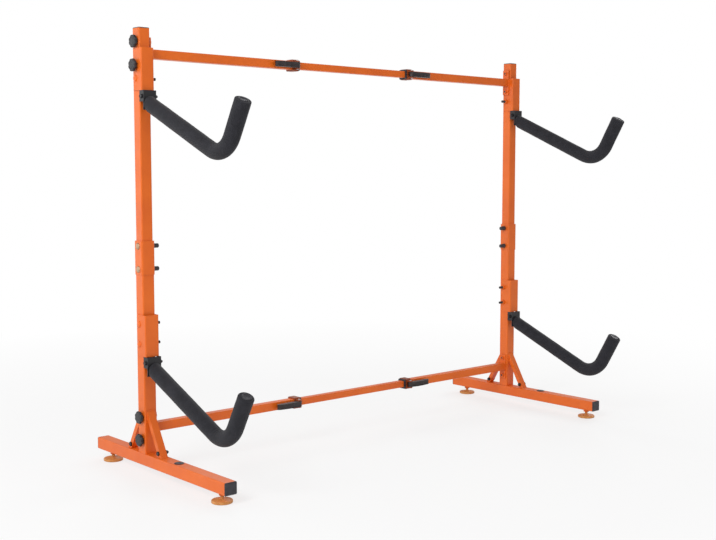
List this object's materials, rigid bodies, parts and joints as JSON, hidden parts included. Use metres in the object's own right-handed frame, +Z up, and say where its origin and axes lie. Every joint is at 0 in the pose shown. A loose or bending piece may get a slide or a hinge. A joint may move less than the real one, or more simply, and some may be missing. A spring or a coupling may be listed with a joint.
{
  "type": "kayak rack",
  "caption": "Freestanding rack that carries kayaks on foam-covered J hooks, with telescoping rails and cam clamps for its width, bolted split posts, clamp knobs and levelling feet.",
  "frame": {"origin": "on the floor, under the middle of the bounding box", "axes": "+X along the rails toward the right side frame, +Y toward the back, away from the hooks, +Z up"},
  "size_m": [1.8515, 0.8814, 1.45],
  "materials": {
    "orange_paint": "semi-gloss powder coat",
    "collar_paint": "satin",
    "arm_steel": "satin",
    "foam": "matte foam",
    "black_plastic": "matte",
    "knob_plastic": "fine texture",
    "lever_plastic": "satin",
    "pad_plastic": "satin",
    "zinc_steel": "zinc plated",
    "dark_steel": "black oxide"
  },
  "bodies": {
    "left_frame": {"left_foot": "orange_paint", "left_post_stub": "orange_paint", "left_braces": "orange_paint", "left_lower_post": "orange_paint", "left_upper_post": "orange_paint", "left_splice_sleeve": "orange_paint", "left_upper_bracket": "orange_paint", "left_lower_bracket": "orange_paint", "left_upper_arm": "arm_steel", "left_lower_arm": "arm_steel", "left_upper_foam": "foam", "left_lower_foam": "foam", "left_upper_rail": "orange_paint", "left_lower_rail": "orange_paint", "left_rail_bushes": "black_plastic", "left_clamp_collars": "collar_paint", "left_lever_pins": "zinc_steel", "left_carriage_bolts": "zinc_steel", "left_hex_bolts": "dark_steel", "left_lock_nuts": "dark_steel", "left_end_plugs": "black_plastic"},
    "right_frame": {"right_foot": "orange_paint", "right_post_stub": "orange_paint", "right_braces": "orange_paint", "right_lower_post": "orange_paint", "right_upper_post": "orange_paint", "right_splice_sleeve": "orange_paint", "right_upper_bracket": "orange_paint", "right_lower_bracket": "orange_paint", "right_upper_arm": "arm_steel", "right_lower_arm": "arm_steel", "right_upper_foam": "foam", "right_lower_foam": "foam", "right_upper_rail": "orange_paint", "right_lower_rail": "orange_paint", "right_rail_bushes": "black_plastic", "right_clamp_collars": "collar_paint", "right_lever_pins": "zinc_steel", "right_rail_bolts": "dark_steel", "right_carriage_bolts": "zinc_steel", "right_hex_bolts": "dark_steel", "right_lock_nuts": "dark_steel", "right_end_plugs": "black_plastic"},
    "upper_centre": {"upper_centre_tube": "orange_paint"},
    "lower_centre": {"lower_centre_tube": "orange_paint"},
    "left_upper_lever_body": {"left_upper_lever": "lever_plastic"},
    "left_lower_lever_body": {"left_lower_lever": "lever_plastic"},
    "left_knob_1_body": {"left_knob_1": "knob_plastic"},
    "left_knob_2_body": {"left_knob_2": "knob_plastic"},
    "left_knob_3_body": {"left_knob_3": "knob_plastic"},
    "left_knob_4_body": {"left_knob_4": "knob_plastic"},
    "left_front_levelling_foot_body": {"left_front_levelling_foot": "pad_plastic"},
    "left_rear_levelling_foot_body": {"left_rear_levelling_foot": "pad_plastic"},
    "right_upper_lever_body": {"right_upper_lever": "lever_plastic"},
    "right_lower_lever_body": {"right_lower_lever": "lever_plastic"},
    "right_front_levelling_foot_body": {"right_front_levelling_foot": "pad_plastic"},
    "right_rear_levelling_foot_body": {"right_rear_levelling_foot": "pad_plastic"}
  },
  "joints": [
    {"name": "width_slide", "type": "slide", "parent": "left_frame", "child": "right_frame", "axis": [1, 0, 0], "range_m": [-0.5, 0.08]},
    {"name": "upper_centre_slide", "type": "slide", "parent": "left_frame", "child": "upper_centre", "axis": [1, 0, 0], "range_m": [-0.25, 0.04]},
    {"name": "lower_centre_slide", "type": "slide", "parent": "left_frame", "child": "lower_centre", "axis": [1, 0, 0], "range_m": [-0.25, 0.04]},
    {"name": "left_upper_lever_hinge", "type": "hinge", "parent": "left_frame", "child": "left_upper_lever_body", "pos_m": [-0.28, 0.10752, 1.368], "axis": [0, 0, 1], "range_deg": [0, 120]},
    {"name": "left_lower_lever_hinge", "type": "hinge", "parent": "left_frame", "child": "left_lower_lever_body", "pos_m": [-0.28, 0.10752, 0.155], "axis": [0, 0, 1], "range_deg": [0, 120]},
    {"name": "left_knob_1_turn", "type": "hinge", "parent": "left_frame", "child": "left_knob_1_body", "pos_m": [-0.89, 0.13872, 0.1175], "axis": [-1, 0, 0], "continuous": true},
    {"name": "left_knob_2_turn", "type": "hinge", "parent": "left_frame", "child": "left_knob_2_body", "pos_m": [-0.89, 0.13872, 0.1925], "axis": [-1, 0, 0], "continuous": true},
    {"name": "left_knob_3_turn", "type": "hinge", "parent": "left_frame", "child": "left_knob_3_body", "pos_m": [-0.89, 0.13872, 1.3305], "axis": [-1, 0, 0], "continuous": true},
    {"name": "left_knob_4_turn", "type": "hinge", "parent": "left_frame", "child": "left_knob_4_body", "pos_m": [-0.89, 0.13872, 1.4055], "axis": [-1, 0, 0], "continuous": true},
    {"name": "left_front_levelling_slide", "type": "slide", "parent": "left_frame", "child": "left_front_levelling_foot_body", "axis": [0, 0, 1], "range_m": [-0.02, 0.01]},
    {"name": "left_rear_levelling_slide", "type": "slide", "parent": "left_frame", "child": "left_rear_levelling_foot_body", "axis": [0, 0, 1], "range_m": [-0.02, 0.01]},
    {"name": "right_upper_lever_hinge", "type": "hinge", "parent": "right_frame", "child": "right_upper_lever_body", "pos_m": [0.28, 0.10752, 1.368], "axis": [0, 0, -1], "range_deg": [0, 120]},
    {"name": "right_lower_lever_hinge", "type": "hinge", "parent": "right_frame", "child": "right_lower_lever_body", "pos_m": [0.28, 0.10752, 0.155], "axis": [0, 0, -1], "range_deg": [0, 120]},
    {"name": "right_front_levelling_slide", "type": "slide", "parent": "right_frame", "child": "right_front_levelling_foot_body", "axis": [0, 0, 1], "range_m": [-0.02, 0.01]},
    {"name": "right_rear_levelling_slide", "type": "slide", "parent": "right_frame", "child": "right_rear_levelling_foot_body", "axis": [0, 0, 1], "range_m": [-0.02, 0.01]}
  ],
  "couplings": [
    {"joint": "upper_centre_slide", "follows": "width_slide", "ratio": 0.5},
    {"joint": "lower_centre_slide", "follows": "width_slide", "ratio": 0.5}
  ]
}
